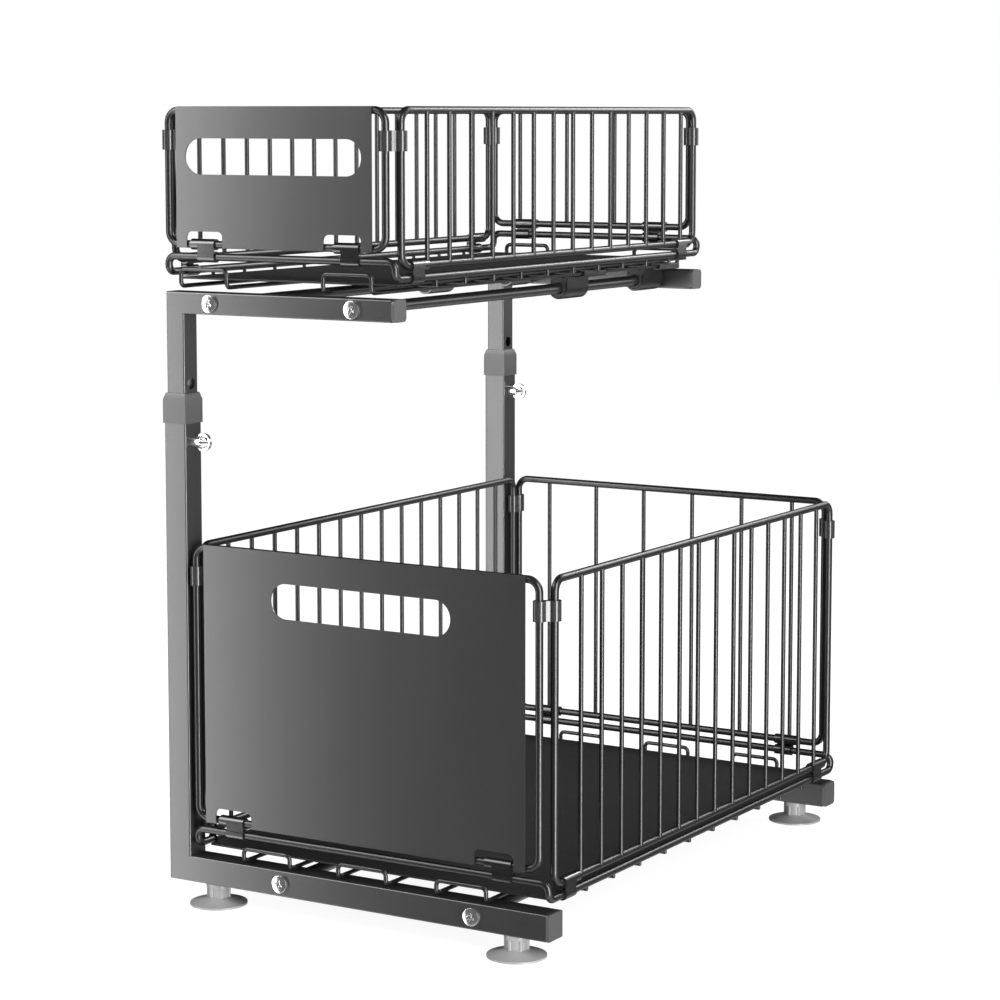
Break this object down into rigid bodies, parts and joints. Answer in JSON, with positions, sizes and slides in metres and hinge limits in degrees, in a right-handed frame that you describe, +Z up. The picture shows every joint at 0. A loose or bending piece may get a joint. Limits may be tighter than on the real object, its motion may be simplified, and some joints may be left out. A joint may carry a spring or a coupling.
{
  "type": "pull out cabinet basket",
  "caption": "Two-tier under-cabinet organiser: two folding wire baskets with sheet-metal fronts slide out on rods between square-tube frames, with a height-adjustable upper tier.",
  "frame": {"origin": "on the floor, under the middle of the whole object's width and depth, baskets pushed in", "axes": "+Z up, -Y towards the user (the baskets pull out along -Y), +X to the right when looking at the baskets' fronts; the posts stand on the -X side"},
  "size_m": [0.31, 0.463, 0.5525],
  "materials": {
    "frame_paint": "satin dark grey metallic powder coat on square steel tube",
    "panel_paint": "satin dark grey metallic powder coat on sheet steel",
    "wire_paint": "glossy dark grey metallic coat on drawn wire",
    "rod_paint": "satin dark grey coat on round rod",
    "bracket_paint": "semi-gloss dark grey coat on pressed sheet",
    "frame_plastic": "satin dark grey moulded plastic",
    "clip_plastic": "semi-gloss near-black moulded plastic",
    "liner_plastic": "matt dark grey sheet",
    "nylon": "matt black nylon",
    "foot_rubber": "translucent grey soft plastic",
    "chrome": "bright nickel plating",
    "zinc": "bright zinc plating",
    "black_zinc": "blackened zinc plating"
  },
  "bodies": {
    "lower_frame": {"front_base_rail": "frame_paint", "front_base_post": "frame_paint", "rear_base_rail": "frame_paint", "rear_base_post": "frame_paint", "front_collar": "frame_plastic", "rear_collar": "frame_plastic", "front_base_plug": "frame_plastic", "rear_base_plug": "frame_plastic", "foot_front_left": "foot_rubber", "foot_front_right": "foot_rubber", "foot_rear_left": "foot_rubber", "foot_rear_right": "foot_rubber", "foot_studs": "zinc", "lower_left_rod": "rod_paint", "lower_right_rod": "rod_paint", "lower_rod_screws": "chrome", "height_nuts": "black_zinc"},
    "upper_frame": {"front_upper_rail": "frame_paint", "front_upper_post": "frame_paint", "rear_upper_rail": "frame_paint", "rear_upper_post": "frame_paint", "front_upper_plug": "frame_plastic", "rear_upper_plug": "frame_plastic", "upper_left_rod": "rod_paint", "upper_right_rod": "rod_paint", "upper_rod_screws": "chrome"},
    "front_wing_bolt": {"front_wing_bolt": "chrome"},
    "rear_wing_bolt": {"rear_wing_bolt": "chrome"},
    "lower_basket": {"lower_tray_rim": "wire_paint", "lower_floor_wires": "wire_paint", "lower_cross_wires": "wire_paint", "lower_liner": "liner_plastic", "lower_front_frame": "wire_paint", "lower_front_panel": "panel_paint", "lower_left_side": "wire_paint", "lower_right_side": "wire_paint", "lower_back": "wire_paint", "lower_corner_clips": "clip_plastic", "lower_hinge_clips": "bracket_paint", "lower_runner_hooks": "bracket_paint", "lower_runner_pads": "nylon"},
    "upper_basket": {"upper_tray_rim": "wire_paint", "upper_floor_wires": "wire_paint", "upper_cross_wires": "wire_paint", "upper_liner": "liner_plastic", "upper_front_frame": "wire_paint", "upper_front_panel": "panel_paint", "upper_left_side": "wire_paint", "upper_right_side": "wire_paint", "upper_back": "wire_paint", "upper_corner_clips": "clip_plastic", "upper_hinge_clips": "bracket_paint", "upper_runner_hooks": "bracket_paint", "upper_runner_pads": "nylon"}
  },
  "joints": [
    {"name": "lower_basket_slide", "type": "slide", "parent": "lower_frame", "child": "lower_basket", "axis": [0, -1, 0], "range_m": [0, 0.25]},
    {"name": "upper_basket_slide", "type": "slide", "parent": "upper_frame", "child": "upper_basket", "axis": [0, -1, 0], "range_m": [0, 0.25]},
    {"name": "height_adjust", "type": "slide", "parent": "lower_frame", "child": "upper_frame", "axis": [0, 0, 1], "range_m": [-0.04, 0.08]},
    {"name": "front_bolt_turn", "type": "hinge", "parent": "lower_frame", "child": "front_wing_bolt", "pos_m": [-0.12915, -0.2115, 0.323], "axis": [1, 0, 0], "continuous": true},
    {"name": "rear_bolt_turn", "type": "hinge", "parent": "lower_frame", "child": "rear_wing_bolt", "pos_m": [-0.12915, 0.2115, 0.323], "axis": [1, 0, 0], "continuous": true}
  ]
}
